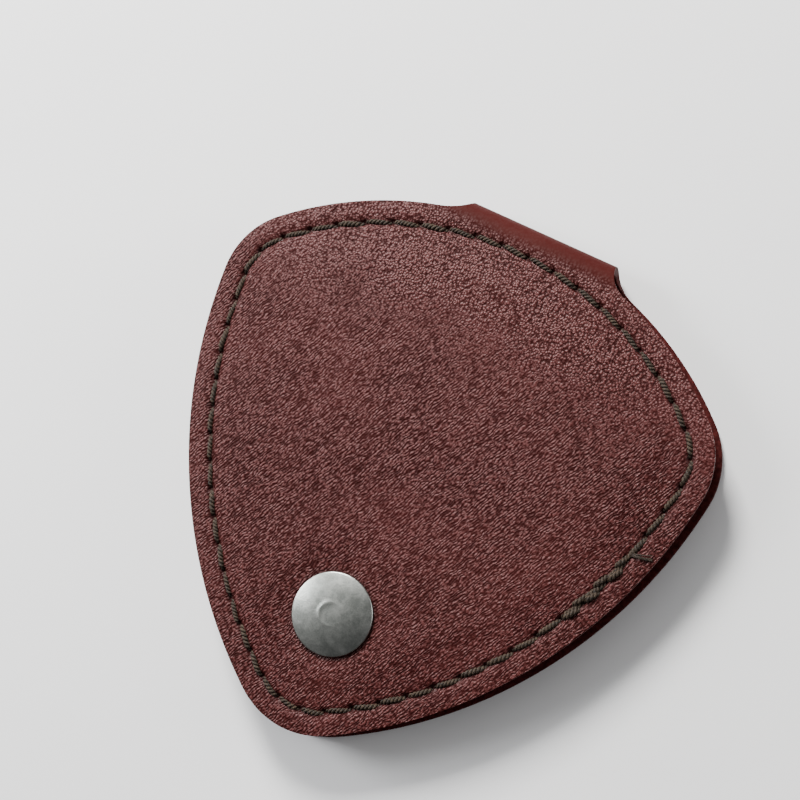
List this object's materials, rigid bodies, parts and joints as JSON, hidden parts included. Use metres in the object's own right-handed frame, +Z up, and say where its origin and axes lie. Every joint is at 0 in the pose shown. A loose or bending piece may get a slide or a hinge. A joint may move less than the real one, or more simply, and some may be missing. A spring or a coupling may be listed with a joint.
{
  "type": "pick holder",
  "caption": "Folding leather pick holder shaped like a large plectrum, opening like a book on a narrow fold, with an inner pocket in each cover and a press stud near the tip.",
  "frame": {"origin": "under the middle of the shut case, on the back cover's outer face, which is the rest face", "axes": "+Z up out of the front cover, +Y from the tip to the fold at the wide end, +X to the right seen from the front"},
  "size_m": [0.082, 0.083, 0.0088],
  "materials": {
    "outer_leather": "fine pebbled grain, satin, dark reddish brown",
    "lining": "short-napped dark brown cloth",
    "pocket_leather": "fine pebbled grain, satin",
    "thread": "waxed two-ply thread, dark olive brown",
    "cap_metal": "mottled antique nickel, satin",
    "inner_snap_metal": "antique nickel, satin",
    "spring_wire": "bright drawn wire"
  },
  "bodies": {
    "back": {"back_cover": "outer_leather", "back_lining": "lining", "back_pocket": "pocket_leather", "back_pocket_border": "pocket_leather", "back_stitching": "thread", "snap_stud": "inner_snap_metal", "snap_post": "inner_snap_metal"},
    "spine": {"fold_strip": "outer_leather"},
    "front": {"front_cover": "outer_leather", "front_lining": "lining", "front_pocket": "pocket_leather", "front_pocket_border": "pocket_leather", "front_stitching": "thread", "thread_tail": "thread", "snap_cap": "cap_metal", "snap_socket": "inner_snap_metal", "snap_spring": "spring_wire"}
  },
  "joints": [
    {"name": "spine_fold", "type": "hinge", "parent": "back", "child": "spine", "pos_m": [0.0024, 0.04092, 0.0006], "axis": [-1, 0, 0], "range_deg": [0, 90]},
    {"name": "cover_fold", "type": "hinge", "parent": "spine", "child": "front", "pos_m": [0.0024, 0.04092, 0.0068], "axis": [-1, 0, 0], "range_deg": [0, 90]}
  ],
  "couplings": [
    {"joint": "cover_fold", "follows": "spine_fold", "ratio": 1}
  ]
}
